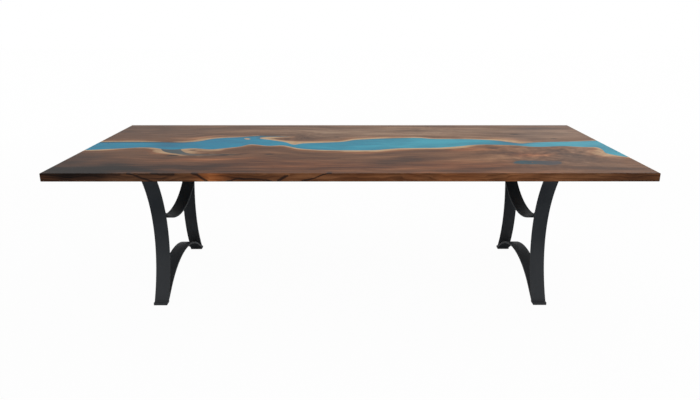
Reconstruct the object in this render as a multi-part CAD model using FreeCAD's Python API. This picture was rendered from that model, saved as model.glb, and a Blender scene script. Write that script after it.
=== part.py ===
import FreeCAD, Part
import math
import os

os.makedirs("parts", exist_ok=True)

# River dining table. The top is two walnut slabs whose live edges face each
# other across a river of cast blue resin. It stands on two trestles welded
# from curved flat bar. Lengths are in millimetres, X runs along the table,
# +Y points to the back edge and +Z up. The origin is on the floor under the
# centre of the top.

# Table top
table_length = 2740.0
table_width = 1050.0
table_height = 750.0
top_thickness = 38.0
eased_edge = 2.0

# Fillings set into the face of the top
pocket_depth = 20.0
void_depth = 9.0
island_depth = 14.0
outline_tolerance = 1.0

# Flat bar that the trestles are bent from
bar_width = 70.0
bar_thickness = 10.0

# Trestles
end_overhang = 374.0
leg_waist_spread = 500.0
leg_waist_height = 320.0
leg_bend_radius = 640.0
bow_bend_radius = 428.0
bow_low_height = 367.5
arch_bend_radius = 440.0
arch_top_height = 151.5
arch_bend_angle = 37.5

# Mounting plates on the legs
plate_end_margin = 32.0
plate_width = 100.0
plate_thickness = 8.0
plate_corner = 12.0
slot_length = 20.0
slot_width = 9.0
slot_leg_gap = 65.0
slot_column_spacing = 60.0

# Feet
foot_thickness = 8.0
foot_toe = 21.5
foot_corner = 8.0
glide_thickness = 3.0
glide_inset = 1.5

# Weld beads
plate_weld = 5.0
joint_weld = 5.5
notch_weld = 9.0
weld_end_gap = 3.0
bead_sides = 8
bead_turn_share = 0.5

# Bolts and the threaded inserts that they screw into
bolt_diameter = 8.0
bolt_length = 25.0
bolt_flats = 13.0
bolt_head_height = 5.5
bolt_clearance = 0.15
insert_diameter = 12.0
insert_length = 20.0
insert_hole_relief = 1.5

# Extra length of every cutting shape
overrun = 5.0

# Live edge of the back slab from the left end to the tip of the crack behind
# the small headland. Each point is its place along the table and across it,
# as shares of the length and the width from the centre, and how far the foot
# of the edge stands into the river, as a share of the thickness.
back_bank_left_shares = [
    (-0.500, 0.068, 0.35),
    (-0.435, 0.074, 0.40),
    (-0.376, 0.068, 0.45),
    (-0.335, 0.060, 0.45),
    (-0.303, 0.086, 0.40),
    (-0.289, 0.122, 0.35),
    (-0.275, 0.147, 0.35),
    (-0.252, 0.166, 0.30),
    (-0.219, 0.186, 0.20),
    (-0.205, 0.205, 0.10),
    (-0.184, 0.212, 0.05),
    (-0.153, 0.207, 0.03),
    (-0.124, 0.195, 0.02),
]

# Live edge of the back slab from the crack round the headland to the right end
back_bank_right_shares = [
    (-0.124, 0.195, 0.02),
    (-0.150, 0.189, 0.03),
    (-0.176, 0.182, 0.05),
    (-0.186, 0.163, 0.10),
    (-0.183, 0.142, 0.20),
    (-0.168, 0.121, 0.30),
    (-0.145, 0.088, 0.35),
    (-0.127, 0.057, 0.30),
    (-0.117, 0.021, 0.20),
    (-0.108, 0.009, 0.20),
    (-0.099, 0.027, 0.30),
    (-0.077, 0.043, 0.45),
    (-0.031, 0.061, 0.50),
    (-0.008, 0.082, 0.50),
    (0.006, 0.110, 0.45),
    (0.022, 0.124, 0.45),
    (0.060, 0.145, 0.50),
    (0.106, 0.160, 0.50),
    (0.140, 0.162, 0.45),
    (0.156, 0.149, 0.45),
    (0.175, 0.136, 0.45),
    (0.223, 0.134, 0.45),
    (0.264, 0.122, 0.40),
    (0.296, 0.099, 0.35),
    (0.314, 0.070, 0.30),
    (0.328, 0.046, 0.25),
    (0.341, 0.035, 0.20),
    (0.355, 0.048, 0.25),
    (0.407, 0.068, 0.35),
    (0.442, 0.076, 0.35),
    (0.476, 0.088, 0.35),
    (0.500, 0.099, 0.35),
]

# Live edge of the front slab from the left end to the right end
front_bank_shares = [
    (-0.500, -0.104, 0.30),
    (-0.469, -0.090, 0.30),
    (-0.424, -0.063, 0.35),
    (-0.401, -0.050, 0.35),
    (-0.380, -0.054, 0.30),
    (-0.365, -0.071, 0.20),
    (-0.347, -0.090, 0.10),
    (-0.325, -0.088, 0.10),
    (-0.305, -0.070, 0.20),
    (-0.285, -0.075, 0.30),
    (-0.266, -0.090, 0.30),
    (-0.246, -0.075, 0.30),
    (-0.225, -0.049, 0.30),
    (-0.210, -0.025, 0.25),
    (-0.200, 0.006, 0.15),
    (-0.189, 0.012, 0.15),
    (-0.168, -0.010, 0.25),
    (-0.154, -0.018, 0.25),
    (-0.134, -0.008, 0.25),
    (-0.120, -0.026, 0.30),
    (-0.104, -0.060, 0.30),
    (-0.086, -0.084, 0.30),
    (-0.065, -0.096, 0.35),
    (-0.040, -0.105, 0.35),
    (0.003, -0.109, 0.40),
    (0.046, -0.106, 0.35),
    (0.065, -0.091, 0.35),
    (0.083, -0.076, 0.35),
    (0.106, -0.067, 0.40),
    (0.168, -0.057, 0.40),
    (0.191, -0.043, 0.40),
    (0.214, -0.025, 0.35),
    (0.236, -0.002, 0.30),
    (0.259, 0.010, 0.30),
    (0.282, 0.008, 0.30),
    (0.305, 0.001, 0.25),
    (0.327, -0.011, 0.20),
    (0.346, -0.032, 0.20),
    (0.373, -0.037, 0.25),
    (0.396, -0.028, 0.30),
    (0.419, -0.025, 0.30),
    (0.442, -0.039, 0.25),
    (0.462, -0.044, 0.15),
    (0.473, -0.048, 0.05),
    (0.477, -0.078, 0.03),
    (0.474, -0.124, 0.03),
    (0.472, -0.167, 0.03),
    (0.480, -0.198, 0.05),
    (0.491, -0.225, 0.10),
    (0.500, -0.236, 0.10),
]

# Bark pocket in the front slab, from its mouth on the river along its front
# side to its tip, and from the tip back along its other side to the mouth
pocket_front_shares = [
    (-0.360, -0.062),
    (-0.355, -0.100),
    (-0.347, -0.130),
    (-0.335, -0.156),
    (-0.314, -0.180),
    (-0.298, -0.200),
    (-0.276, -0.207),
    (-0.245, -0.203),
    (-0.205, -0.183),
]
pocket_back_shares = [
    (-0.205, -0.183),
    (-0.245, -0.184),
    (-0.276, -0.185),
    (-0.294, -0.171),
    (-0.305, -0.150),
    (-0.313, -0.124),
    (-0.319, -0.096),
    (-0.325, -0.062),
]

# Shallow void in the front slab, filled with the same resin as the river
void_shares = [
    (0.279, -0.335),
    (0.289, -0.304),
    (0.315, -0.294),
    (0.345, -0.299),
    (0.366, -0.316),
    (0.362, -0.350),
    (0.345, -0.374),
    (0.318, -0.362),
    (0.286, -0.356),
]

# Splinter of sapwood that stands in the river
island_shares = [
    (-0.218, 0.143),
    (-0.214, 0.158),
    (-0.208, 0.150),
    (-0.203, 0.134),
    (-0.207, 0.119),
    (-0.212, 0.124),
]

# Heights and places worked out from the sizes above
half_length = table_length / 2
half_width = table_width / 2
underside = table_height - top_thickness
plate_underside = underside - plate_thickness
foot_top = glide_thickness + foot_thickness
half_bar = bar_width / 2
trestle_x = half_length - end_overhang - half_bar
leg_outer_radius = leg_bend_radius
leg_inner_radius = leg_bend_radius + bar_thickness
leg_centre_y = leg_waist_spread / 2 + leg_bend_radius
bow_inner_radius = bow_bend_radius - bar_thickness
bow_centre_height = bow_low_height + bow_bend_radius
arch_inner_radius = arch_bend_radius - bar_thickness
arch_centre_height = arch_top_height - arch_bend_radius
sides = {"left": -1, "right": 1}
ends = {"front": -1, "back": 1}


def leg_reach(radius, height):
    """Distance of a leg's bent face from the middle of the table at a height."""
    return leg_centre_y - math.sqrt(radius ** 2 - (height - leg_waist_height) ** 2)


def arch_reach(radius, height):
    """Distance of the arch's straight end from the middle at a height."""
    angle = math.radians(arch_bend_angle)
    tangent_y = radius * math.sin(angle)
    tangent_z = arch_centre_height + radius * math.cos(angle)
    return tangent_y + (tangent_z - height) / math.tan(angle)


def box(low, high):
    """Block between two opposite corners."""
    size = [b - a for a, b in zip(low, high)]
    return Part.makeBox(size[0], size[1], size[2], FreeCAD.Vector(*low))


def cylinder_up(x, y, low, radius, height):
    """Upright cylinder from a centre at its foot."""
    return Part.makeCylinder(radius, height, FreeCAD.Vector(x, y, low))


def cylinder_along(x, y, z, radius, length):
    """Cylinder that lies along the table, centred on x."""
    start = FreeCAD.Vector(x - length / 2, y, z)
    return Part.makeCylinder(radius, length, start, FreeCAD.Vector(1, 0, 0))


def bead_along(x, y, z, radius, length):
    """Faceted rod that lies along the table, centred on x, for a weld bead."""
    points = []
    for k in range(bead_sides + 1):
        angle = 2 * math.pi * (k + bead_turn_share) / bead_sides
        py = y + radius * math.cos(angle)
        pz = z + radius * math.sin(angle)
        points.append(FreeCAD.Vector(x - length / 2, py, pz))
    section = Part.Face(Part.makePolygon(points))
    return section.extrude(FreeCAD.Vector(length, 0, 0))


def extrude_bar(edges, x):
    """Profile across the table pulled along it to the width of the bar."""
    wire = Part.Wire(Part.__sortEdges__(edges))
    profile = Part.Face(wire)
    profile.translate(FreeCAD.Vector(x - half_bar, 0, 0))
    return profile.extrude(FreeCAD.Vector(bar_width, 0, 0))


def arc(radius, centre_y, centre_z, angles):
    """Arc in the plane across the table through three angles from +Y."""
    points = []
    for angle in angles:
        y = centre_y + radius * math.cos(angle)
        z = centre_z + radius * math.sin(angle)
        points.append(FreeCAD.Vector(0, y, z))
    return Part.Arc(points[0], points[1], points[2]).toShape()


def straight(a, b):
    """Straight edge between two points."""
    return Part.LineSegment(FreeCAD.Vector(*a), FreeCAD.Vector(*b)).toShape()


def place(point):
    """Plan point in millimetres from its shares of the length and width."""
    return point[0] * table_length, point[1] * table_width


def bank_curves(shares, toward_river):
    """Matching curves of a live edge at the face of the top and at its foot."""
    upper = []
    lower = []
    for share in shares:
        x, y = place(share)
        if abs(x) >= half_length:
            x += math.copysign(overrun, x)
        lean = share[2] * top_thickness * toward_river
        upper.append(FreeCAD.Vector(x, y, table_height))
        lower.append(FreeCAD.Vector(x, y + lean, underside))
    knots = [0.0]
    for a, b in zip(upper, upper[1:]):
        knots.append(knots[-1] + math.sqrt(a.distanceToPoint(b)))
    levels = []
    for points in (upper, lower):
        spline = Part.BSplineCurve()
        spline.interpolate(Points=points, Parameters=knots)
        levels.append([span.toShape() for span in spline.toBezier()])
    return levels


def river_body():
    """The cast river, bounded by the two live edges and past both ends."""
    back = bank_curves(back_bank_left_shares, -1)
    headland = bank_curves(back_bank_right_shares, -1)
    front = bank_curves(front_bank_shares, 1)
    rims = []
    for level in (0, 1):
        starts = [bank[level][0].firstVertex(True).Point for bank in (front, back)]
        finishes = [bank[level][-1].lastVertex(True).Point for bank in (front, headland)]
        rim = [straight(*starts), straight(*finishes)]
        rims.append(rim + back[level] + headland[level] + front[level])
    faces = [Part.makeRuledSurface(upper, lower) for upper, lower in zip(*rims)]
    for rim in rims:
        faces.append(Part.Face(Part.Wire(Part.__sortEdges__(rim))))
    shell = Part.makeShell(faces)
    shell.sewShape()
    solid = Part.makeSolid(shell)
    if solid.Volume < 0:
        solid.reverse()
    return solid


def smooth_edges(shares, closed=False):
    """Run of tangent arcs along a smooth plan curve through shares."""
    points = [FreeCAD.Vector(*place(share), table_height) for share in shares]
    spline = Part.BSplineCurve()
    spline.interpolate(Points=points, PeriodicFlag=closed)
    return [curve.toShape() for curve in spline.toBiArcs(outline_tolerance)]


def inlay(edges, depth):
    """Filling sunk into the face of the top inside a plan outline."""
    wire = Part.Wire(Part.__sortEdges__(edges))
    return Part.Face(wire).extrude(FreeCAD.Vector(0, 0, -depth))


def pocket_body():
    """Filling of the bark pocket, as far as its mouth in the river."""
    front = smooth_edges(pocket_front_shares)
    back = smooth_edges(pocket_back_shares)
    mouth = [(*place(share), table_height) for share in (pocket_back_shares[-1], pocket_front_shares[0])]
    return inlay(front + back + [straight(*mouth)], pocket_depth)


def island_body():
    """Splinter of wood with its broken, angular outline."""
    points = [FreeCAD.Vector(*place(share), table_height) for share in island_shares]
    return inlay(Part.makePolygon(points + points[:1]).Edges, island_depth)


def top_blank():
    """The whole top, planed and cut to size, with its edges eased."""
    low = (-half_length, -half_width, underside)
    high = (half_length, half_width, table_height)
    blank = box(low, high)
    return blank.makeChamfer(eased_edge, blank.Edges)


def bolt_places(side):
    """Plan places of one trestle's bolts, inboard of its legs."""
    row = leg_reach(leg_inner_radius, plate_underside) - slot_leg_gap
    places = []
    for end in ends.values():
        for column in (-1, 1):
            x = side * trestle_x + column * slot_column_spacing / 2
            places.append((x, end * row))
    return places


def slot(x, y, low, height):
    """Round-ended slot that runs across the grain."""
    half = (slot_length - slot_width) / 2
    radius = slot_width / 2
    middle = box((x - radius, y - half, low), (x + radius, y + half, low + height))
    ends_round = [cylinder_up(x, y + s * half, low, radius, height) for s in (-1, 1)]
    return middle.fuse(ends_round).removeSplitter()


def bolt(x, y, seat):
    """Hexagon bolt whose head bears up against a seat height."""
    points = []
    across_corners = bolt_flats / math.cos(math.pi / 6)
    for k in range(7):
        angle = k * math.pi / 3
        px = x + across_corners / 2 * math.cos(angle)
        py = y + across_corners / 2 * math.sin(angle)
        points.append(FreeCAD.Vector(px, py, seat))
    hexagon = Part.Face(Part.makePolygon(points))
    head = hexagon.extrude(FreeCAD.Vector(0, 0, -bolt_head_height))
    shank = cylinder_up(x, y, seat, bolt_diameter / 2, bolt_length)
    return head.fuse(shank)


def ring(x, y, low, outer_diameter, inner_diameter, height):
    """Flat ring or sleeve."""
    outer = cylinder_up(x, y, low, outer_diameter / 2, height)
    inner = cylinder_up(x, y, low - overrun, inner_diameter / 2, height + 2 * overrun)
    return outer.cut(inner)


def insert(x, y, low):
    """Threaded insert screwed into the wood above a height."""
    bore = bolt_diameter + 2 * bolt_clearance
    return ring(x, y, low, insert_diameter, bore, insert_length)


def insert_hole(x, y, low):
    """Blind hole that an insert fills, with relief above it."""
    depth = insert_length + insert_hole_relief
    return cylinder_up(x, y, low, insert_diameter / 2, depth)


def leg(side, end):
    """Curved leg from the foot plate up to the mounting plate."""
    edges = []
    corners = {}
    for radius in (leg_outer_radius, leg_inner_radius):
        low = math.asin((foot_top - leg_waist_height) / radius)
        high = math.asin((plate_underside - leg_waist_height) / radius)
        if end > 0:
            angles = [math.pi - low, math.pi, math.pi - high]
        else:
            angles = [low, 0.0, high]
        edges.append(arc(radius, end * leg_centre_y, leg_waist_height, angles))
        for height in (foot_top, plate_underside):
            corners[(radius, height)] = (0, end * leg_reach(radius, height), height)
    for height in (foot_top, plate_underside):
        edges.append(straight(corners[(leg_outer_radius, height)], corners[(leg_inner_radius, height)]))
    return extrude_bar(edges, side * trestle_x)


def leg_backs(side):
    """Solid cylinders whose faces are the legs' inner faces."""
    x = side * trestle_x
    length = bar_width + 2 * overrun
    cutters = []
    for end in ends.values():
        cutters.append(cylinder_along(x, end * leg_centre_y, leg_waist_height, leg_inner_radius, length))
    return cutters


def upper_bow(side):
    """Sagging bow that ties the legs, coped to their inner faces."""
    reach = leg_waist_spread / 2 + 2 * bar_thickness + overrun
    spread = math.asin(reach / bow_bend_radius)
    low_point = -math.pi / 2
    angles = [low_point - spread, low_point, low_point + spread]
    outer = arc(bow_bend_radius, 0, bow_centre_height, angles)
    inner = arc(bow_inner_radius, 0, bow_centre_height, angles)
    edges = [outer, inner]
    for angle in (angles[0], angles[2]):
        tips = []
        for radius in (bow_bend_radius, bow_inner_radius):
            y = radius * math.cos(angle)
            tips.append((0, y, bow_centre_height + radius * math.sin(angle)))
        edges.append(straight(tips[0], tips[1]))
    bow = extrude_bar(edges, side * trestle_x)
    return bow.cut(leg_backs(side))


def lower_arch(side):
    """Arch with straight ends that run down into the feet of the legs."""
    bend = math.radians(arch_bend_angle)
    crown = math.pi / 2
    edges = []
    toes = {}
    for radius in (arch_bend_radius, arch_inner_radius):
        edges.append(arc(radius, 0, arch_centre_height, [crown - bend, crown, crown + bend]))
        tangent_y = radius * math.sin(bend)
        tangent_z = arch_centre_height + radius * math.cos(bend)
        toe_y = arch_reach(radius, foot_top)
        for end in ends.values():
            toes[(radius, end)] = (0, end * toe_y, foot_top)
            edges.append(straight((0, end * tangent_y, tangent_z), toes[(radius, end)]))
    for end in ends.values():
        edges.append(straight(toes[(arch_bend_radius, end)], toes[(arch_inner_radius, end)]))
    arch = extrude_bar(edges, side * trestle_x)
    return arch.cut(leg_backs(side))


def foot_outline(side, end, inset):
    """Plan corners of a foot from the arch's heel to the toe."""
    x = side * trestle_x
    heel = arch_reach(arch_inner_radius, foot_top) + inset
    toe = leg_reach(leg_outer_radius, foot_top) + foot_toe - inset
    low_y, high_y = sorted((end * heel, end * toe))
    return x - half_bar + inset, x + half_bar - inset, low_y, high_y


def foot_plate(side, end):
    """Flat plate under a leg and the arch, rounded at the corners of its toe."""
    x0, x1, y0, y1 = foot_outline(side, end, 0)
    plate = box((x0, y0, glide_thickness), (x1, y1, foot_top))
    toe = max((y0, y1), key=abs)
    corners = []
    for edge in plate.Edges:
        upright = edge.BoundBox.ZLength > foot_thickness / 2
        if upright and abs(edge.CenterOfMass.y - toe) < foot_corner:
            corners.append(edge)
    return plate.makeFillet(foot_corner, corners)


def glide(side, end):
    """Rubber pad under a foot plate, set in a little all round."""
    x0, x1, y0, y1 = foot_outline(side, end, glide_inset)
    return box((x0, y0, 0), (x1, y1, glide_thickness))


def mounting_plate(side):
    """Slotted plate across the table that the legs are welded to."""
    x = side * trestle_x
    half_plate = leg_reach(leg_outer_radius, plate_underside) + plate_end_margin
    low = (x - plate_width / 2, -half_plate, plate_underside)
    high = (x + plate_width / 2, half_plate, underside)
    plate = box(low, high)
    uprights = [e for e in plate.Edges if e.BoundBox.ZLength > plate_thickness / 2]
    plate = plate.makeChamfer(plate_corner, uprights)
    height = plate_thickness + 2 * overrun
    slots = [slot(px, py, plate_underside - overrun, height) for px, py in bolt_places(side)]
    return plate.cut(slots)


def bow_joint(radius):
    """Place where a face of the bow meets the leg's inner face."""
    low = bow_low_height
    high = plate_underside
    for _ in range(60):
        middle = (low + high) / 2
        y = leg_reach(leg_inner_radius, middle)
        drop = math.sqrt(max(radius ** 2 - y ** 2, 0))
        if bow_centre_height - drop > middle:
            low = middle
        else:
            high = middle
    return leg_reach(leg_inner_radius, low), low


def arch_joint():
    """Place where the arch's upper face meets the leg's inner face."""
    low = foot_top
    high = leg_waist_height
    for _ in range(60):
        middle = (low + high) / 2
        if arch_reach(arch_bend_radius, middle) > leg_reach(leg_inner_radius, middle):
            low = middle
        else:
            high = middle
    return leg_reach(leg_inner_radius, low), low


def weld_beads(side, members):
    """Rounded beads in the corners where the pieces of a trestle meet."""
    seams = [
        (leg_reach(leg_outer_radius, plate_underside), plate_underside, plate_weld),
        (leg_reach(leg_inner_radius, plate_underside), plate_underside, plate_weld),
        (leg_reach(leg_outer_radius, foot_top), foot_top, plate_weld),
        (*bow_joint(bow_bend_radius), joint_weld),
        (*bow_joint(bow_inner_radius), joint_weld),
        (*arch_joint(), notch_weld),
    ]
    x = side * trestle_x
    length = bar_width - 2 * weld_end_gap
    beads = []
    for y, z, size in seams:
        for end in ends.values():
            bead = bead_along(x, end * y, z, size, length)
            pieces = bead.cut(members).Solids
            room = size * size * length / 100
            beads.extend(piece for piece in pieces if piece.Volume > room)
    return Part.Compound(beads)


# Build the top
nodes = {}
river_cut = river_body()
blank = top_blank()
pocket_cut = pocket_body()
void_fill = inlay(smooth_edges(void_shares, True), void_depth)
island = island_body()
nodes["river_wood_island"] = island
nodes["right_void_resin"] = void_fill
nodes["left_pocket_resin"] = pocket_cut.cut(river_cut)


# Build the two trestles, and note the holes that their inserts need
top_cuts = []
for side_name, side in sides.items():
    plate = mounting_plate(side)
    bow = upper_bow(side)
    arch = lower_arch(side)
    members = [plate, bow, arch]
    for end_name, end in ends.items():
        member = leg(side, end)
        foot = foot_plate(side, end)
        nodes[f"{side_name}_{end_name}_leg"] = member
        nodes[f"{side_name}_{end_name}_foot_plate"] = foot
        nodes[f"{side_name}_{end_name}_glide"] = glide(side, end)
        members.extend([member, foot])
    nodes[side_name + "_mounting_plate"] = plate
    nodes[side_name + "_upper_bow"] = bow
    nodes[side_name + "_lower_arch"] = arch
    nodes[side_name + "_weld_beads"] = weld_beads(side, members)
    bolts = []
    inserts = []
    for px, py in bolt_places(side):
        bolts.append(bolt(px, py, plate_underside))
        inserts.append(insert(px, py, underside))
        top_cuts.append(insert_hole(px, py, underside))
    nodes[side_name + "_mount_bolts"] = Part.Compound(bolts)
    nodes[side_name + "_mount_inserts"] = Part.Compound(inserts)

# Cut the top's pieces to each other and to what is let into them
slabs = blank.cut([river_cut, pocket_cut, void_fill] + top_cuts).Solids
slabs.sort(key=lambda slab: slab.CenterOfMass.y)
nodes["front_slab"] = slabs[0]
nodes["back_slab"] = slabs[-1]
nodes["river_resin"] = river_cut.common(blank).cut([island] + top_cuts)

for name, shape in nodes.items():
    solids = shape.Solids
    kept = solids[0] if len(solids) == 1 else Part.Compound(solids)
    kept.exportStep("parts/" + name + ".step")
    volume = sum(solid.Volume for solid in solids)
    print(f"{name:26s} solids {len(solids):2d}  volume {volume / 1000:10.2f} cm3  valid {kept.isValid()}")
print("slab pieces", len(slabs), "nodes", len(nodes))
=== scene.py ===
# %% [markdown]
# # A river dining table
#
# Two walnut slabs keep the wavy edges of their tree and face each other across a river
# of poured blue resin. The top stands on two trestles bent from black flat bar. The
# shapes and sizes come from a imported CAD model, the frame. This lesson dresses that
# frame: it gives the wood its figure, the resin its depth and the steel its soft coat.

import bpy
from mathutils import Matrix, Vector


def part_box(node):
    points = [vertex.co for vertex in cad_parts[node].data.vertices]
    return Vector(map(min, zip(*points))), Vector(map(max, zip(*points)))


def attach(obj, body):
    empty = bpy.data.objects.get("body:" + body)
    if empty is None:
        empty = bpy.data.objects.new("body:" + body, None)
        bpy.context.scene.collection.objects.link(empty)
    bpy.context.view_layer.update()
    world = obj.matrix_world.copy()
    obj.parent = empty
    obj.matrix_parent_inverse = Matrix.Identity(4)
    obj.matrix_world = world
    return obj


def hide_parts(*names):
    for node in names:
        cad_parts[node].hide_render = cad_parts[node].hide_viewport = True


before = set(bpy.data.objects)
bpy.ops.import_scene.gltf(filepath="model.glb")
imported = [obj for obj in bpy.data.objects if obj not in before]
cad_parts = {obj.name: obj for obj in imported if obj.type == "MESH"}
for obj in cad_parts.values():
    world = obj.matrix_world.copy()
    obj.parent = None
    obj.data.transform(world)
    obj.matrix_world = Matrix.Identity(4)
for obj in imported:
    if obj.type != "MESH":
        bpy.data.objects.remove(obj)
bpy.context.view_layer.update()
print("packed nodes:", len(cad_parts))

# %% Bring in the tools
import math

import bmesh
import bpy
import numpy as np
from mathutils import Matrix, Vector, noise
from mathutils.bvhtree import BVHTree

MM = 0.001
scene = bpy.context.scene

# %% [markdown]
# ## Seeing the table from where it was photographed
#
# The picture was taken from the front, a little above the top, with a wide lens. The
# place and tilt below put the corners of the top and the feet on the same pixels. The
# frame of the picture was cropped below the lens axis, and a small vertical shift does
# the same without bending the upright lines.

# %% Camera
camera_data = bpy.data.cameras.new("photo_camera")
camera_data.sensor_width = 36.0
camera_data.lens = 27.603
camera_data.shift_y = -0.0714
camera = bpy.data.objects.new("photo_camera", camera_data)
scene.collection.objects.link(camera)
camera.location = (-0.0097, -2.7897, 1.435)
turn = Matrix.Rotation(math.radians(-0.18), 3, "Z")
tilt = Matrix.Rotation(math.radians(90 - 14.33), 3, "X")
roll = Matrix.Rotation(math.radians(0.040), 3, "Z")
camera.rotation_euler = (turn @ tilt @ roll).to_euler()
scene.camera = camera
print("lens", camera_data.lens, "mm at", tuple(camera.location))

# %% [markdown]
# ## A plain studio
#
# The picture has a white, empty background. Here the world is white only where the
# camera or a reflection looks straight at it. To the rest of the scene it is a dim,
# even sky, so that lamps can shape the table without washing its colours out. Three
# soft lamps do that work: one overhead, one in front for the edge and the legs, and one
# low behind the right end, where the top in the picture has a paler sheen.

# %% Helpers for node trees
def put(tree, kind, inputs=None, **settings):
    """Add a node, set its options and feed its sockets with values or other sockets."""
    node = tree.nodes.new(kind)
    for key, value in settings.items():
        setattr(node, key, value)
    for key, value in (inputs or {}).items():
        if isinstance(value, bpy.types.NodeSocket):
            tree.links.new(value, node.inputs[key])
        else:
            node.inputs[key].default_value = value
    return node


def calc(tree, operation, *values, clamp=False):
    """One step of arithmetic on values or sockets."""
    node = put(tree, "ShaderNodeMath", dict(enumerate(values)), operation=operation, use_clamp=clamp)
    return node.outputs[0]


def fade(tree, value, start, end):
    """Soft step that rises from 0 at start to 1 at end, whichever is larger."""
    low, high = sorted((start, end))
    rising = start < end
    spans = {"Value": value, "From Min": low, "From Max": high}
    spans["To Min"] = 0.0 if rising else 1.0
    spans["To Max"] = 1.0 if rising else 0.0
    return put(tree, "ShaderNodeMapRange", spans, interpolation_type="SMOOTHSTEP").outputs[0]


def spread(tree, value, low, high):
    """A value from 0 to 1 stretched to run from low to high."""
    return put(tree, "ShaderNodeMapRange", {"Value": value, "To Min": low, "To Max": high}).outputs[0]


# %% A sky that only the camera and reflections see as white
WHITE = (1, 1, 1, 1)
SKY_LEVEL = 0.42


def seen_directly(tree):
    """1 for camera, glossy and transmission rays, and 0 for the rest."""
    path = put(tree, "ShaderNodeLightPath").outputs
    seen = calc(tree, "MAXIMUM", path["Is Camera Ray"], path["Is Glossy Ray"])
    return calc(tree, "MAXIMUM", seen, path["Is Transmission Ray"])


world = bpy.data.worlds.new("studio_sky")
world.use_nodes = True
tree = world.node_tree
tree.nodes.clear()
dim_sky = put(tree, "ShaderNodeBackground", {"Color": WHITE, "Strength": SKY_LEVEL})
white_sky = put(tree, "ShaderNodeBackground", {"Color": WHITE, "Strength": 1.0})
sky_parts = {0: seen_directly(tree), 1: dim_sky.outputs[0], 2: white_sky.outputs[0]}
sky = put(tree, "ShaderNodeMixShader", sky_parts)
put(tree, "ShaderNodeOutputWorld", {"Surface": sky.outputs[0]})
scene.world = world
scene.view_settings.view_transform = "Standard"
print("sky level", SKY_LEVEL)

# %% Floor
FLOOR_SIZE = 40.0
FLOOR_GLOW = (0.970, 0.995)
GLOW_REACH = (1.8, 6.0)

floor_mesh = bpy.data.meshes.new("studio_floor")
bm = bmesh.new()
bmesh.ops.create_grid(bm, x_segments=1, y_segments=1, size=FLOOR_SIZE / 2)
bm.to_mesh(floor_mesh)
bm.free()
floor = bpy.data.objects.new("studio_floor", floor_mesh)
scene.collection.objects.link(floor)
floor_paint = bpy.data.materials.new("pale_floor")
floor_paint.use_nodes = True
tree = floor_paint.node_tree
tree.nodes.clear()
matt = put(tree, "ShaderNodeBsdfDiffuse", {"Color": (0.86, 0.86, 0.86, 1)})
glow = put(tree, "ShaderNodeEmission", {"Color": WHITE, "Strength": 1.0})
floor_spot = put(tree, "ShaderNodeTexCoord").outputs["Object"]
from_table = put(tree, "ShaderNodeVectorMath", {0: floor_spot}, operation="LENGTH").outputs["Value"]
glow_share = spread(tree, fade(tree, from_table, *GLOW_REACH), *FLOOR_GLOW)
floor_share = calc(tree, "MULTIPLY", seen_directly(tree), glow_share)
floor_mix = put(tree, "ShaderNodeMixShader", {0: floor_share, 1: matt.outputs[0], 2: glow.outputs[0]})
put(tree, "ShaderNodeOutputMaterial", {"Surface": floor_mix.outputs[0]})
floor_mesh.materials.append(floor_paint)
print("floor", FLOOR_SIZE, "m across")

# %% Lamps
def soft_lamp(name, place, aim, width, height, radiance):
    """Square soft box whose face has a given brightness."""
    lamp = bpy.data.lights.new(name, "AREA")
    lamp.shape = "RECTANGLE"
    lamp.size = width
    lamp.size_y = height
    lamp.energy = radiance * math.pi * width * height
    holder = bpy.data.objects.new(name, lamp)
    scene.collection.objects.link(holder)
    holder.location = place
    direction = Vector(aim) - Vector(place)
    holder.rotation_euler = direction.to_track_quat("-Z", "Y").to_euler()


soft_lamp("overhead_softbox", (1.0, 0.9, 3.1), (0.3, 0.1, 0.75), 4.2, 2.8, 1.22)
soft_lamp("front_softbox", (-0.3, -3.3, 3.9), (0.0, 0.0, 0.4), 4.5, 2.0, 1.80)
soft_lamp("back_right_softbox", (3.1, 3.2, 1.5), (1.0, 0.0, 0.75), 2.4, 1.4, 0.4)
print("lamps:", len(bpy.data.lights))

# %% [markdown]
# ## Cutting a fine grid into the top
#
# The figure of a live-edge slab follows the edge of the tree: the growth rings run
# beside the bank, swing round its headlands and straighten out towards the sawn edge. A
# flat plank texture can't do that. So each slab keeps the outline of its CAD node, and
# plane cuts divide it into small cells. Every corner of a cell can then remember how far
# it lies from the bank, and the wood shader reads that number.

# %% Copies of the CAD shapes that can be worked on
FLAT_ANGLE = math.radians(0.6)
WELD_GAP = 0.01 * MM
CELL = (25 * MM, 10 * MM)
SMALL_CELL = (10 * MM, 5 * MM)
CELL_CREASE = 2


def merged_copy(node):
    """A copy of a CAD node's mesh with its loose triangles joined into flat faces."""
    bm = bmesh.new()
    bm.from_mesh(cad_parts[node].data)
    bmesh.ops.remove_doubles(bm, verts=bm.verts, dist=WELD_GAP)
    bmesh.ops.dissolve_limit(bm, angle_limit=FLAT_ANGLE, verts=bm.verts, edges=bm.edges)
    return bm


def everything(bm):
    """All the parts of a mesh, as the operators want them."""
    return bm.verts[:] + bm.edges[:] + bm.faces[:]


def cut_grid(bm, cell_x, cell_y):
    """Plane cuts along and across the table, cell_x and cell_y apart."""
    for axis, cell in enumerate((cell_x, cell_y)):
        places = [v.co[axis] for v in bm.verts]
        normal = Vector((0, 0, 0))
        normal[axis] = 1.0
        step = math.floor(min(places) / cell) + 1
        while step * cell < max(places):
            bmesh.ops.bisect_plane(bm, geom=everything(bm), plane_co=normal * step * cell, plane_no=normal)
            step += 1


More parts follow.
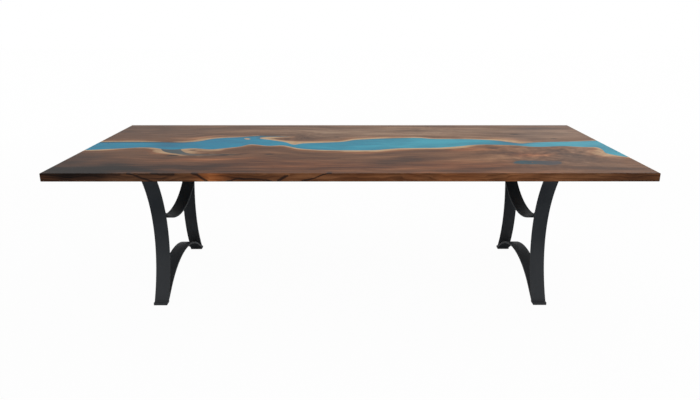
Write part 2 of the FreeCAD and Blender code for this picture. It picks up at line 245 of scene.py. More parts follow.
# %% Pieces that stand for CAD nodes
def make_piece(bm, name, finish, slot, node, crease=30):
    """Turn a bmesh into a piece of the table that stands for a CAD node."""
    mesh = bpy.data.meshes.new(name)
    for face in bm.faces:
        face.smooth = True
    bm.to_mesh(mesh)
    bm.free()
    mesh.set_sharp_from_angle(angle=math.radians(crease))
    mesh.materials.append(finish)
    piece = bpy.data.objects.new(name, mesh)
    scene.collection.objects.link(piece)
    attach(piece, "root")
    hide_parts(node)
    print(name, "faces:", len(mesh.polygons))
    return piece


def gridded_piece(node, cell, name, finish, slot):
    """A piece in the shape of its CAD node, cut into cells."""
    bm = merged_copy(node)
    cut_grid(bm, *cell)
    return make_piece(bm, name, finish, slot, node, crease=CELL_CREASE)


def remember(piece, **numbers):
    """Store numbers for each point of a piece under names that shaders read."""
    for label, values in numbers.items():
        attribute = piece.data.attributes.new(label, "FLOAT", "POINT")
        attribute.data.foreach_set("value", np.asarray(values, np.float32))


# %% [markdown]
# ## The figure of the walnut
#
# Walnut shows several scales of pattern at once. Broad bands of darker and lighter wood
# run for a metre or more, with long straight streaks in them. Growth rings a few
# millimetres apart draw finer lines. Between them lie fibres and short open pores. One
# node group makes all of these from three numbers: the distance along the tree, the
# distance from the bank, and the depth in the slab. It could be painted by hand, but
# noise stretched along the grain gives the same look from every side and goes right
# through the wood to the end grain.

# %% Helpers for node groups
def new_group(name, inputs):
    """An empty shader group with its inputs: a number makes a float, None a place."""
    group = bpy.data.node_groups.new(name, "ShaderNodeTree")
    for label, value in inputs.items():
        kind = "NodeSocketVector" if value is None else "NodeSocketFloat"
        socket = group.interface.new_socket(label, in_out="INPUT", socket_type=kind)
        if value is not None:
            socket.default_value = value
    return group, group.nodes.new("NodeGroupInput").outputs


def give_results(tree, results):
    """Close a group with one named output for each result."""
    for label in results:
        tree.interface.new_socket(label, in_out="OUTPUT", socket_type="NodeSocketFloat")
    put(tree, "NodeGroupOutput", results)
    print(tree.name, "nodes:", len(tree.nodes))


def place_group(tree, name, *values):
    """Put a node group in a material, feed its inputs in order and return its outputs."""
    group = bpy.data.node_groups[name]
    return put(tree, "ShaderNodeGroup", dict(enumerate(values)), node_tree=group).outputs


def axes(tree, place):
    """The three numbers of a place or direction."""
    return put(tree, "ShaderNodeSeparateXYZ", {0: place}).outputs


def plain_noise(tree, place, scale, detail, roughness=0.5):
    """Noise that is the same size every way, from 0 to 1."""
    inputs = {"Vector": place, "Scale": scale, "Detail": detail, "Roughness": roughness}
    return put(tree, "ShaderNodeTexNoise", inputs).outputs["Fac"]


def stretched_noise(tree, numbers, scales, detail, roughness=0.5):
    """Noise with a scale of its own for each of three numbers, from 0 to 1."""
    parts = [calc(tree, "MULTIPLY", number, scale) for number, scale in zip(numbers, scales)]
    place = put(tree, "ShaderNodeCombineXYZ", dict(enumerate(parts))).outputs[0]
    return plain_noise(tree, place, 1.0, detail, roughness)


# %% Node group for wood figure
tree, given = new_group("wood_figure", {"Along": 0.0, "Across": 0.0, "Depth": 0.0, "Ring Gap": 0.007})
along, across, depth, ring_gap = [given[k] for k in range(4)]
sway = stretched_noise(tree, (along, across, depth), (2.6, 5.0, 8.0), 3.0)
swayed = calc(tree, "MULTIPLY_ADD", sway, 0.085, across)
grain = (along, swayed, depth)
bands = stretched_noise(tree, grain, (2.6, 14.0, 14.0), 4.0, 0.58)
streaks = stretched_noise(tree, grain, (1.6, 42.0, 42.0), 3.0, 0.6)
wander = stretched_noise(tree, grain, (0.9, 9.0, 9.0), 2.0)
turns = calc(tree, "DIVIDE", swayed, ring_gap)
turns = calc(tree, "MULTIPLY_ADD", wander, 5.0, turns)
ring = calc(tree, "FRACT", turns)
late_wood = calc(tree, "POWER", ring, 2.2)
early_wood = fade(tree, ring, 0.0, 0.12)
rings = calc(tree, "SUBTRACT", 1.0, calc(tree, "MULTIPLY", late_wood, early_wood))
fibres = stretched_noise(tree, grain, (7.0, 330.0, 330.0), 3.0, 0.6)
pores = stretched_noise(tree, grain, (60.0, 1500.0, 1500.0), 1.0)
open_pores = fade(tree, pores, 0.60, 0.72)
figure = {"Bands": bands, "Streaks": streaks, "Rings": rings, "Fibres": fibres, "Pores": open_pores}
give_results(tree, figure)

# %% [markdown]
# ## Knots and dark veins
#
# A knot is where a branch left the trunk: a dark round heart with rings squeezed round
# it. The sawn front edge also cuts through a few dark mineral veins that slant down
# across it. Both are single marks in known places, so each is a small group that gets
# its place as numbers, and noise frays its outline. The cracks beside the river are
# veins too, seen from above.

# %% Node group for knots
def slope_length(tree, first, second):
    """Length of the slope that two sides make."""
    squares = [calc(tree, "MULTIPLY", side, side) for side in (first, second)]
    return calc(tree, "SQRT", calc(tree, "ADD", *squares))


tree, given = new_group("knot_mark", {"Position": None, "X": 0.0, "Y": 0.0, "Size": 0.02})
x, y = axes(tree, given["Position"])[:2]
fray = plain_noise(tree, given["Position"], 38.0, 3.0)
side = calc(tree, "DIVIDE", calc(tree, "SUBTRACT", x, given["X"]), 2.1)
ahead = calc(tree, "SUBTRACT", y, given["Y"])
reach = calc(tree, "DIVIDE", slope_length(tree, side, ahead), given["Size"])
reach = calc(tree, "ADD", reach, spread(tree, fray, -0.5, 0.5))
give_results(tree, {"Mark": fade(tree, reach, 1.15, 0.45)})

# %% Node group for veins
vein_inputs = {"Position": None, "Start X": 0.0, "Start Z": 0.0, "End X": 0.0, "End Z": 0.0, "Width": 0.004}
tree, given = new_group("vein_mark", vein_inputs)
x, _, z = axes(tree, given["Position"])
fray = plain_noise(tree, given["Position"], 24.0, 4.0)
run_x = calc(tree, "SUBTRACT", given["End X"], given["Start X"])
run_z = calc(tree, "SUBTRACT", given["End Z"], given["Start Z"])
off_x = calc(tree, "SUBTRACT", x, given["Start X"])
share = calc(tree, "DIVIDE", off_x, run_x, clamp=True)
line_z = calc(tree, "MULTIPLY_ADD", share, run_z, given["Start Z"])
miss_x = calc(tree, "SUBTRACT", off_x, calc(tree, "MULTIPLY", share, run_x))
miss_z = calc(tree, "SUBTRACT", z, line_z)
miss_z = calc(tree, "ADD", miss_z, spread(tree, fray, -0.007, 0.007))
miss = calc(tree, "DIVIDE", slope_length(tree, miss_x, miss_z), given["Width"])
give_results(tree, {"Mark": fade(tree, miss, 1.6, 0.4)})

# %% [markdown]
# ## Oiled walnut
#
# The heartwood runs from near black to a warm mid brown under a thin satin oil. Beside
# the bank lies the sapwood, the pale outer wood of the tree, with a soft warm fringe
# where it turns into heartwood. The shader lays the brown down first, and tints it with
# two broad tones that the slabs remember. These tones also carry a painted sheen, which
# makes the back slab and the right end of the front one paler and greyer. Where the grain
# whirls, as it does round the void near the right end, a cloudy mottle joins the straight
# figure. Sapwood, knots and veins come on top. The eased edges are rougher and duller,
# and their colour is darkened there as painted shade.

# %% Helpers for finishes
def stored(tree, label):
    """Read a number that the piece remembers at each point."""
    return put(tree, "ShaderNodeAttribute", attribute_name=label).outputs["Fac"]


def swing(tree, value, size, base, middle=0.5, clamp=False):
    """A base that a value moves up or down as it leaves its middle."""
    off = calc(tree, "SUBTRACT", value, middle)
    return calc(tree, "MULTIPLY_ADD", off, size, base, clamp=clamp)


def mix_colours(tree, share, first, second, mode="MIX"):
    """Two colours mixed by a share."""
    inputs = {0: share, 6: first, 7: second}
    return put(tree, "ShaderNodeMix", inputs, data_type="RGBA", blend_type=mode).outputs[2]


def tint(tree, share, colour, filter_colour):
    """A colour seen through a filter, as far as a share says."""
    return mix_colours(tree, share, colour, filter_colour, "MULTIPLY")


def ramp(tree, value, stops):
    """Colours laid out along a value, as (place, colour) stops."""
    node = put(tree, "ShaderNodeValToRGB", {"Fac": value})
    elements = node.color_ramp.elements
    while len(elements) < len(stops):
        elements.new(0.5)
    for element, (place, colour) in zip(elements, stops):
        element.position = place
        element.color = (*colour, 1.0)
    return node.outputs["Color"]


def add_bump(tree, height, strength, distance):
    """Fine relief from a height between 0 and 1."""
    inputs = {"Height": height, "Strength": strength, "Distance": distance}
    return put(tree, "ShaderNodeBump", inputs).outputs["Normal"]


def new_finish(name, swatch):
    """An empty material with its viewport swatch, its node tree and the place on the piece."""
    finish = bpy.data.materials.new(name)
    finish.use_nodes = True
    finish.node_tree.nodes.clear()
    finish.diffuse_color = (*swatch, 1.0)
    return finish, finish.node_tree, put(finish.node_tree, "ShaderNodeTexCoord").outputs["Object"]


def surface(finish, **sockets):
    """The Principled shader of a finish, with its output."""
    tree = finish.node_tree
    inputs = {key.replace("_", " "): value for key, value in sockets.items()}
    shader = put(tree, "ShaderNodeBsdfPrincipled", inputs)
    put(tree, "ShaderNodeOutputMaterial", {"Surface": shader.outputs[0]})
    print(finish.name, "nodes:", len(tree.nodes))


# %% Heartwood
TABLE_TOP = 0.75
RING_LEAN = 0.55
RING_GAP = 0.0085
HEARTWOOD = [
    (0.00, (0.010, 0.007, 0.006)),
    (0.25, (0.048, 0.022, 0.013)),
    (0.50, (0.132, 0.056, 0.026)),
    (0.75, (0.250, 0.118, 0.056)),
    (1.00, (0.400, 0.215, 0.110)),
]
ORANGE_CAST = (1.35, 0.92, 0.62, 1)
GREY_CAST = (0.93, 1.17, 1.52, 1)

walnut, tree, spot = new_finish("oiled_walnut", (0.12, 0.06, 0.035))
x, y, z = axes(tree, spot)
depth = calc(tree, "SUBTRACT", z, TABLE_TOP)
from_bank = calc(tree, "MULTIPLY_ADD", depth, RING_LEAN, stored(tree, "from_bank"))
bands, streaks, rings, fibres, pores = place_group(tree, "wood_figure", x, from_bank, depth, RING_GAP)
figure = [(bands, 0.95, 0.5), (streaks, 0.60, 0.5), (rings, 0.16, 0.75), (fibres, 0.42, 0.5)]
tone = 0.50
for part, size, middle in figure:
    tone = swing(tree, part, size, tone, middle)
tone = calc(tree, "ADD", tone, stored(tree, "tone"))
mottle = stretched_noise(tree, (x, y, depth), (26.0, 34.0, 34.0), 3.0)
tone = swing(tree, mottle, stored(tree, "swirl"), tone)
heartwood = ramp(tree, tone, HEARTWOOD)
# Warmth tints the wood towards orange or grey. Where it greys the slabs, it lays down painted sheen.
warmth = stored(tree, "warmth")
for way, cast in ((1.0, ORANGE_CAST), (-1.0, GREY_CAST)):
    heartwood = tint(tree, calc(tree, "MULTIPLY", warmth, way, clamp=True), heartwood, cast)
print("heartwood stops:", len(HEARTWOOD))

# %% Sapwood along the banks
SAPWOOD = [
    (0.00, (0.235, 0.125, 0.058)),
    (0.50, (0.420, 0.255, 0.130)),
    (1.00, (0.600, 0.420, 0.250)),
]
FRINGE_CAST = (1.75, 1.45, 1.20, 1)
FRINGE_STRENGTH = 0.7

edge_noise = stretched_noise(tree, (x, y, depth), (9.0, 22.0, 22.0), 3.0)
sap_width = calc(tree, "MULTIPLY", stored(tree, "sap_width"), spread(tree, edge_noise, 0.45, 1.55))
reach = calc(tree, "DIVIDE", stored(tree, "edge_gap"), sap_width)
mottle_size = calc(tree, "MULTIPLY", stored(tree, "sap_width"), 24.0)
strength = swing(tree, mottle, mottle_size, stored(tree, "sap_strength"))
strength = swing(tree, edge_noise, 1.3, strength, clamp=True)
sap_share = calc(tree, "MULTIPLY", fade(tree, reach, 1.5, 0.6), strength)
fringe = calc(tree, "MULTIPLY", fade(tree, reach, 3.4, 0.8), strength)
fringe = calc(tree, "MULTIPLY", fringe, FRINGE_STRENGTH)
sap_tone = swing(tree, fibres, 0.9, spread(tree, bands, 0.45, 1.00))
wood = tint(tree, fringe, heartwood, FRINGE_CAST)
wood = mix_colours(tree, sap_share, wood, ramp(tree, sap_tone, SAPWOOD))
print("sapwood stops:", len(SAPWOOD))

# %% Knots, veins, cracks and the rim of the void
# A knot is (x, y, size). A vein is (x, z) to (x, z) and a width, and a crack has y for z.
KNOTS = [
    (-0.879, -0.222, 0.017), (-0.917, -0.482, 0.018), (0.96, 0.261, 0.016), (1.147, 0.149, 0.01),
    (0.748, -0.066, 0.017), (-0.812, -0.108, 0.012), (-0.405, -0.192, 0.014), (-0.075, 0.19, 0.01),
]
CRACKS = [
    (-0.52, 0.231, -0.43, 0.224, 0.0045), (-0.43, 0.224, -0.335, 0.206, 0.004),
]
VEINS = [
    (-0.985, 0.749, -0.942, 0.736, 0.004), (-0.942, 0.736, -0.876, 0.7145, 0.0045),
    (-0.88, 0.75, -0.78, 0.744, 0.005), (-0.7, 0.7495, -0.676, 0.745, 0.0055),
    (-0.676, 0.745, -0.638, 0.7145, 0.007), (-0.548, 0.714, -0.489, 0.7275, 0.0036),
    (-0.489, 0.7275, -0.44, 0.7265, 0.0042), (-0.44, 0.7265, -0.35, 0.7155, 0.0036),
    (-0.319, 0.716, -0.29, 0.7335, 0.007), (-0.292, 0.733, -0.278, 0.7365, 0.004),
    (-0.212, 0.716, -0.17, 0.7265, 0.0042), (-0.17, 0.7265, -0.118, 0.7455, 0.003),
    (-0.118, 0.7455, -0.085, 0.749, 0.0024),
]
FRONT_EDGE = (-0.485, -0.520)
MARK_STRENGTH = 0.88
MARK_BROWN = (0.022, 0.013, 0.011, 1)

marks = 0.0
for knot in KNOTS:
    marks = calc(tree, "MAXIMUM", marks, place_group(tree, "knot_mark", spot, *knot)["Mark"])
seen_from_above = put(tree, "ShaderNodeCombineXYZ", {0: x, 2: y}).outputs[0]
near_front = fade(tree, y, *FRONT_EDGE)
for lines, place, mask in ((VEINS, spot, near_front), (CRACKS, seen_from_above, 1.0)):
    for line in lines:
        mark = place_group(tree, "vein_mark", place, *line)["Mark"]
        marks = calc(tree, "MAXIMUM", marks, calc(tree, "MULTIPLY", mark, mask))
void_rim = calc(tree, "DIVIDE", stored(tree, "void_gap"), spread(tree, edge_noise, 0.004, 0.022))
marks = calc(tree, "MAXIMUM", marks, calc(tree, "MULTIPLY", fade(tree, void_rim, 1.6, 0.2), 0.22))
wood = mix_colours(tree, calc(tree, "MULTIPLY", marks, MARK_STRENGTH), wood, MARK_BROWN)
print("knots:", len(KNOTS), "veins:", len(VEINS), "cracks:", len(CRACKS))

# %% Eased edges, end grain, pores and gloss
facing = axes(tree, put(tree, "ShaderNodeNewGeometry").outputs["True Normal"])
lean = calc(tree, "ABSOLUTE", facing[2])
eased = calc(tree, "MULTIPLY", fade(tree, lean, 0.35, 0.50), fade(tree, lean, 0.97, 0.90))
end_grain = fade(tree, calc(tree, "ABSOLUTE", facing[0]), 0.6, 0.8)
# The eased edges are darkened as painted shade. End grain and pores get their own darker colour.
for mask, share, cast in (
    (eased, 0.40, (0.10, 0.07, 0.06, 1)),
    (end_grain, 0.55, (0.60, 0.52, 0.46, 1)),
    (pores, 0.35, (0.45, 0.40, 0.36, 1)),
):
    wood = tint(tree, calc(tree, "MULTIPLY", mask, share), wood, cast)
relief = add_bump(tree, calc(tree, "MULTIPLY_ADD", pores, -0.8, fibres), 0.25, 0.15 * MM)
satin = calc(tree, "MULTIPLY_ADD", fibres, 0.10, 0.33)
satin = calc(tree, "MULTIPLY_ADD", eased, 0.5, satin)
surface(walnut, Base_Color=wood, Roughness=satin, Normal=relief, Specular_IOR_Level=0.028)

# %% [markdown]
# ## Poured resin
#
# The river is opaque: pearl pigment was stirred into the resin, and it came to rest in soft
# clouds drawn out along the pour. It is greener and brighter towards the right end, and
# darker in two places, which is painted shade. Along parts of the back bank a thin
# grey-blue line is painted: sunken wood showing through, darkened as painted shade under
# the bank. The two small fillings are the same resin with less pigment over dark wood,
# so they go grey, and brown where they thin out at the rim.

# %% Node group for pearl clouds
tree, given = new_group("pearl_clouds", {"Position": None, "Stretch": 3.0})
x, y, z = axes(tree, given["Position"])
drawn = calc(tree, "DIVIDE", x, given["Stretch"])
eddy = plain_noise(tree, given["Position"], 5.0, 2.0)
swirled = calc(tree, "MULTIPLY_ADD", eddy, 0.09, y)
clouds = stretched_noise(tree, (drawn, swirled, z), (14.0, 14.0, 14.0), 4.0, 0.55)
flakes = plain_noise(tree, given["Position"], 420.0, 2.0)
give_results(tree, {"Clouds": clouds, "Flakes": flakes})

# %% Helpers for resin
def resin_finish(name, deep, light, stretch, swatch):
    """Pigmented resin: returns the material, its tree, its place, its colour and its parts."""
    finish, tree, spot = new_finish(name, swatch)
    pearl = place_group(tree, "pearl_clouds", spot, stretch)
    share = fade(tree, pearl["Clouds"], 0.30, 0.70)
    share = swing(tree, pearl["Flakes"], 0.35, share)
    return finish, tree, spot, mix_colours(tree, share, deep, light), pearl


def resin_surface(finish, colour, pearl):
    """Satin face of cured and polished resin."""
    tree = finish.node_tree
    polish = calc(tree, "MULTIPLY_ADD", pearl["Clouds"], 0.08, 0.32)
    relief = add_bump(tree, pearl["Clouds"], 0.05, 0.1 * MM)
    surface(finish, Base_Color=colour, Roughness=polish, Normal=relief, Specular_IOR_Level=0.03)


# %% River blue
river_blue, tree, spot, blue, pearl = resin_finish(
    "river_resin_pearl", (0.002, 0.160, 0.278, 1), (0.006, 0.240, 0.384, 1), 3.2, (0.04, 0.26, 0.41))
along = axes(tree, spot)[0]
blue = tint(tree, fade(tree, along, -0.8, 0.45), blue, (6.8, 1.33, 1.08, 1))
# A thin grey-blue line along the back bank: sunken wood seen through the resin, darkened as painted shade.
shore = fade(tree, stored(tree, "back_shore"), 0.028, 0.006)
shore = calc(tree, "MULTIPLY", shore, stored(tree, "sunken_wood"))
blue = mix_colours(tree, shore, blue, (0.022, 0.046, 0.062, 1))
# Painted shade: two places in the river are darkened towards a deeper blue.
blue = mix_colours(tree, stored(tree, "deep_places"), blue, (0.004, 0.085, 0.165, 1))
resin_surface(river_blue, blue, pearl)

# %% Smoke grey of the pocket, with its thin strands of wood
pocket_grey, tree, spot, grey, pearl = resin_finish(
    "pocket_resin_smoke", (0.032, 0.050, 0.056, 1), (0.085, 0.118, 0.126, 1), 2.0, (0.05, 0.07, 0.09))
along = axes(tree, spot)[0]
grey = mix_colours(tree, fade(tree, along, -0.84, -0.58), grey, (0.020, 0.015, 0.015, 1))
strands = calc(tree, "MULTIPLY", fade(tree, pearl["Clouds"], 0.46, 0.62), 0.55)
grey = mix_colours(tree, strands, grey, (0.130, 0.080, 0.052, 1))
resin_surface(pocket_grey, grey, pearl)

# %% Teal of the void, frayed at its rim
void_teal, tree, spot, teal, pearl = resin_finish(
    "void_resin_teal", (0.007, 0.034, 0.048, 1), (0.018, 0.070, 0.092, 1), 1.5, (0.06, 0.12, 0.15))
along = axes(tree, spot)[0]
teal = mix_colours(tree, fade(tree, along, 0.82, 0.96), teal, (0.050, 0.042, 0.046, 1))
fray = spread(tree, plain_noise(tree, spot, 22.0, 4.0), -0.008, 0.020)
rim = calc(tree, "DIVIDE", stored(tree, "rim_gap"), fray)
teal = mix_colours(tree, fade(tree, rim, 1.3, 0.5), teal, (0.110, 0.060, 0.038, 1))
resin_surface(void_teal, teal, pearl)

# %% [markdown]
# ## The two slabs
#
# Each slab is its CAD shape, gridded. For every point the script measures the way to the
# river and to the pocket, and the way to the sawn edge. Where these two meet halfway, the
# grain is halfway between the bank's wave and a straight line. Broad patches of tone, a
# few for each slab, are laid on as soft ovals that follow the grain. Noise nudges their
# outlines, and it is seeded, because otherwise each run would nudge them another way.

# %% Helpers for measuring
def points_of(piece):
    """The points of a piece as rows of three numbers."""
    return np.array([v.co[:] for v in piece.data.vertices])


def distances(piece, node):
    """Distance of every point of a piece from a CAD node's surface."""
    shape = merged_copy(node)
    near = BVHTree.FromBMesh(shape)
    shape.free()
    return np.array([near.find_nearest(v.co)[3] for v in piece.data.vertices])


def smooth_over_grid(piece, values, rounds):
    """Average a number with its neighbours along the edges, a few times over."""
    pairs = np.array([e.vertices[:] for e in piece.data.edges])
    count = np.bincount(pairs.ravel(), minlength=len(values))
    for _ in range(rounds):
        total = np.zeros(len(values))
        np.add.at(total, pairs[:, 0], values[pairs[:, 1]])
        np.add.at(total, pairs[:, 1], values[pairs[:, 0]])
        values = 0.5 * values + 0.5 * total / count
    return values


# %% Helpers for soft patches
PATCH_SEED = 9
noise.seed_set(PATCH_SEED)


def ovals(points, from_bank, patches):
    """Sum of uneven soft ovals that stretch along the grain, for every point."""
    total = np.zeros(len(points))
    nudge = np.array([noise.noise_vector(Vector(p) * 7.0)[:2] for p in points])
    for x, y, along, across, amount in patches:
        nearest = np.argmin((points[:, 0] - x) ** 2 + (points[:, 1] - y) ** 2)
        off_x = points[:, 0] - x + nudge[:, 0] * 0.07
        off_bank = from_bank - from_bank[nearest] + nudge[:, 1] * 0.025
        total += amount * np.exp(-np.hypot(off_x / along, off_bank / across) ** 2)
    return total


def round_spots(points, spots):
    """Sum of soft round spots, for every point."""
    total = np.zeros(len(points))
    for x, y, radius, amount in spots:
        away = np.hypot(points[:, 0] - x, points[:, 1] - y) / radius
        total += amount * np.exp(-away ** 2)
    return total


# %% Where the wood is lighter or darker, painted sheen among it, as ovals of (x, y, length, width, amount)
TONES_AND_SHEEN = {
    "front": [
        (-1.24, -0.47, 0.38, 0.085, -0.58), (-1.34, -0.27, 0.12, 0.12, -0.2),
        (0.9, -0.28, 0.42, 0.16, 0.13), (-0.95, -0.44, 0.26, 0.07, -0.16),
        (-0.66, -0.29, 0.13, 0.014, 0.24), (-0.82, -0.305, 0.14, 0.014, 0.12),
        (-0.62, -0.42, 0.22, 0.06, -0.1), (0.23, -0.35, 0.16, 0.06, -0.2),
        (0.05, -0.25, 0.13, 0.012, 0.12), (0.36, -0.255, 0.16, 0.02, -0.14),
        (0.55, -0.235, 0.11, 0.016, -0.18), (0.5, -0.32, 0.16, 0.022, 0.16),
        (0.8, -0.25, 0.18, 0.03, 0.16), (0.62, -0.115, 0.1, 0.022, 0.16),
        (0.78, -0.19, 0.13, 0.022, -0.26), (0.8, -0.415, 0.28, 0.022, -0.14),
        (0.28, -0.415, 0.14, 0.018, -0.1), (1.06, -0.4, 0.12, 0.018, 0.08),
        (0.95, -0.215, 0.09, 0.035, 0.22), (1.1, -0.21, 0.09, 0.035, -0.2),
        (1.02, -0.32, 0.07, 0.02, -0.1), (1.24, -0.19, 0.08, 0.05, 0.22),
        (1.2, -0.42, 0.2, 0.06, -0.08), (-0.6, -0.19, 0.11, 0.014, -0.32),
        (-0.38, -0.23, 0.06, 0.014, -0.14), (-0.1, -0.15, 0.4, 0.026, 0.1),
        (0.55, -0.09, 0.25, 0.022, 0.08), (0.0, -0.525, 0.22, 0.012, -0.07),
        (-1.2, -0.525, 0.2, 0.012, 0.18), (-0.61, -0.525, 0.055, 0.01, 0.345),
        (0.7, -0.525, 0.42, 0.012, 0.14), (1.26, -0.525, 0.16, 0.012, -0.15),
        (-1.0, -0.525, 0.12, 0.012, 0.13), (-0.36, -0.525, 0.1, 0.012, 0.08),
        (0.88, -0.525, 0.18, 0.012, 0.05),
    ],
    "back": [
        # The first, broad oval is painted sheen: it makes the back slab paler.
        (0.32, 0.33, 0.9, 0.22, 0.24), (-1.2, 0.43, 0.32, 0.08, -0.06), (-0.55, 0.35, 0.26, 0.035, 0.1),
        (-0.8, 0.2, 0.14, 0.035, 0.16), (-0.2, 0.33, 0.3, 0.05, 0.14), (0.0, 0.29, 0.2, 0.018, -0.1),
        (-0.1, 0.19, 0.18, 0.022, -0.12), (0.25, 0.26, 0.26, 0.04, 0.12), (0.4, 0.36, 0.07, 0.04, -0.2),
        (0.58, 0.325, 0.12, 0.04, -0.08), (1.08, 0.42, 0.16, 0.035, -0.14),
        (0.95, 0.31, 0.14, 0.03, 0.12), (0.74, 0.42, 0.2, 0.04, 0.12), (1.16, 0.18, 0.14, 0.04, 0.18),
        (1.27, 0.3, 0.1, 0.06, 0.08), (-0.26, 0.14, 0.1, 0.03, -0.1),
    ],
}

# %% Where it is warmer or greyer, with painted sheen in the grey, and where it whirls
WARMTHS_AND_SHEEN = {
    "front": [
        (-1.22, -0.46, 0.36, 0.1, 0.2), (-0.7, -0.295, 0.24, 0.025, 0.6), (-0.2, -0.4, 0.5, 0.11, 0.5),
        (0.23, -0.35, 0.2, 0.07, -0.14), (0.55, -0.4, 0.35, 0.08, 0.5), (0.94, -0.22, 0.13, 0.04, 0.9),
        (1.1, -0.23, 0.12, 0.06, -0.7), (1.23, -0.16, 0.11, 0.06, -0.45),
        # The grey ovals at (1.2, -0.43) and (1.05, -0.33) are painted sheen at the right end of the front
        # slab.
        (1.2, -0.43, 0.25, 0.08, -0.3), (1.05, -0.33, 0.3, 0.12, -0.35), (0.62, -0.11, 0.14, 0.03, 0.5),
        (-0.6, -0.525, 0.08, 0.014, 0.95), (-1.05, -0.525, 0.24, 0.014, -0.45),
        (1.25, -0.525, 0.15, 0.014, 0.1), (0.5, -0.525, 0.6, 0.014, 0.4),
    ],
    "back": [
        # The first two broad grey ovals are painted sheen: they make the back slab greyer.
        (0.1, 0.33, 1.5, 0.26, -1.0), (1.1, 0.3, 0.4, 0.26, -0.4), (-1.1, 0.43, 0.4, 0.11, -0.15),
        (0.3, 0.45, 0.6, 0.08, -0.15), (0.4, 0.36, 0.09, 0.06, -0.3), (0.95, 0.33, 0.14, 0.06, -0.3),
        (-0.6, 0.35, 0.24, 0.05, 0.25), (-0.85, 0.18, 0.2, 0.05, 0.5),
    ],
}
SWIRLS = [
    (0.92, -0.2, 0.24, 0.95), (1.18, -0.14, 0.14, 0.8), (-0.28, 0.23, 0.14, 0.5), (0.5, 0.38, 0.2, 0.4),
]

# %% Where the sapwood is paler or wider, as round spots of (x, y, radius, amount)
SAP_STRENGTH = 0.78
SAP_STRENGTHS = [
    (-0.99, 0.09, 0.07, -0.6), (-0.85, 0.15, 0.09, 0.2), (-0.6, 0.24, 0.12, -0.5),
    (-0.49, 0.255, 0.04, -0.9), (-0.43, 0.25, 0.04, -0.9), (-0.36, 0.245, 0.04, -0.9),
    (-0.32, 0.225, 0.03, -0.9), (-0.44, 0.18, 0.06, 0.25), (-1.24, 0.11, 0.14, 0.25),
    (-0.3, 0.06, 0.16, 0.35), (0.0, 0.12, 0.16, 0.3), (0.35, -0.11, 0.14, 0.25),
    (0.56, -0.08, 0.1, 0.3), (0.87, 0.09, 0.1, 0.3), (1.16, 0.09, 0.15, -0.6),
    (-1.11, -0.09, 0.06, -0.3), (-0.98, -0.13, 0.06, 0.15), (-0.74, -0.24, 0.09, -0.9),
    (-0.57, -0.21, 0.1, -0.9), (-0.57, -0.09, 0.07, -0.4), (-0.42, 0.0, 0.09, -0.35),
    (0.08, -0.115, 0.2, 0.2), (0.8, -0.01, 0.12, -0.45), (1.04, -0.04, 0.14, -0.7),
    (1.23, -0.18, 0.08, -0.3),
]
SAP_WIDTH = 0.015
THINNEST_SAP = 0.002
SAP_SPOTS = [
    (-0.85, 0.15, 0.08, 0.026), (-0.66, 0.21, 0.08, 0.004), (-1.24, 0.11, 0.12, 0.006),
    (-0.47, 0.15, 0.06, 0.01), (-0.43, 0.18, 0.05, 0.01), (-0.38, 0.11, 0.04, 0.008),
    (-0.31, 0.06, 0.05, 0.034), (-0.18, 0.08, 0.11, 0.014), (0.1, 0.15, 0.2, 0.008),
    (0.87, 0.095, 0.09, 0.044), (1.16, 0.09, 0.13, -0.008), (-1.24, -0.09, 0.1, 0.004),
    (-0.985, -0.13, 0.05, 0.026), (-0.8, -0.12, 0.09, 0.022), (-0.7, -0.125, 0.06, 0.022),
    (-0.42, 0.0, 0.12, -0.006), (0.1, -0.115, 0.18, 0.014), (0.56, -0.08, 0.1, 0.02),
    (1.04, -0.04, 0.14, -0.009), (1.24, -0.19, 0.07, 0.055),
]

# %% Build the slabs
SLAB_WIDTH = 0.45
HALF_TABLE = 0.525
SMOOTHING = 12

for side in ("front", "back"):
    slab = gridded_piece(side + "_slab", CELL, side + "_walnut_slab", walnut, "walnut")
    points = points_of(slab)
    to_river = distances(slab, "river_resin")
    to_edge = HALF_TABLE - np.abs(points[:, 1])
    share = to_river / (to_river + to_edge + 1e-6)
    from_bank = smooth_over_grid(slab, share * SLAB_WIDTH, SMOOTHING)
    remember(
        slab,
        from_bank=from_bank,
        edge_gap=np.minimum(to_river, distances(slab, "left_pocket_resin")),
        void_gap=distances(slab, "right_void_resin"),
        sap_width=np.maximum(SAP_WIDTH + round_spots(points, SAP_SPOTS), THINNEST_SAP),
        sap_strength=np.clip(SAP_STRENGTH + round_spots(points, SAP_STRENGTHS), 0, 1),
        swirl=round_spots(points, SWIRLS),
        tone=ovals(points, from_bank, TONES_AND_SHEEN[side]),
        warmth=ovals(points, from_bank, WARMTHS_AND_SHEEN[side]),
    )
    print(slab.name, "points:", len(points))

# %% [markdown]
# ## The river and the fillings
#
# The resin pieces keep their CAD outlines too, because they were cast against the wood
# and meet it with no gap. The river remembers its distance from the back bank, how
# strongly the sunken wood and its painted shade show there, and where painted shade
# darkens it. The void's filling remembers how far it is from its rim.

# %% Build the resin pieces
# Where the back-bank line of sunken wood and painted shade shows, as (x, y, radius, amount).
SUNKEN_WOOD_AND_SHADE = [
    (-1.32, 0.1, 0.12, 1.0), (-1.16, 0.09, 0.12, 0.9), (-1.02, 0.08, 0.1, 0.9), (-0.9, 0.11, 0.09, 0.5),
    (-0.55, 0.21, 0.06, 0.8), (-0.46, 0.22, 0.04, 0.9), (-0.4, 0.215, 0.04, 0.6),
    (-0.34, 0.21, 0.05, 0.9), (0.05, 0.13, 0.12, 0.35), (0.28, 0.17, 0.14, 0.6),
    (0.92, 0.08, 0.08, 0.6),
]
# Two spots of painted shade in the river, as (x, y, radius, amount).
RIVER_SHADE_SPOTS = [
    (-0.98, 0.01, 0.09, 0.4), (0.86, 0.02, 0.1, 0.55),
]

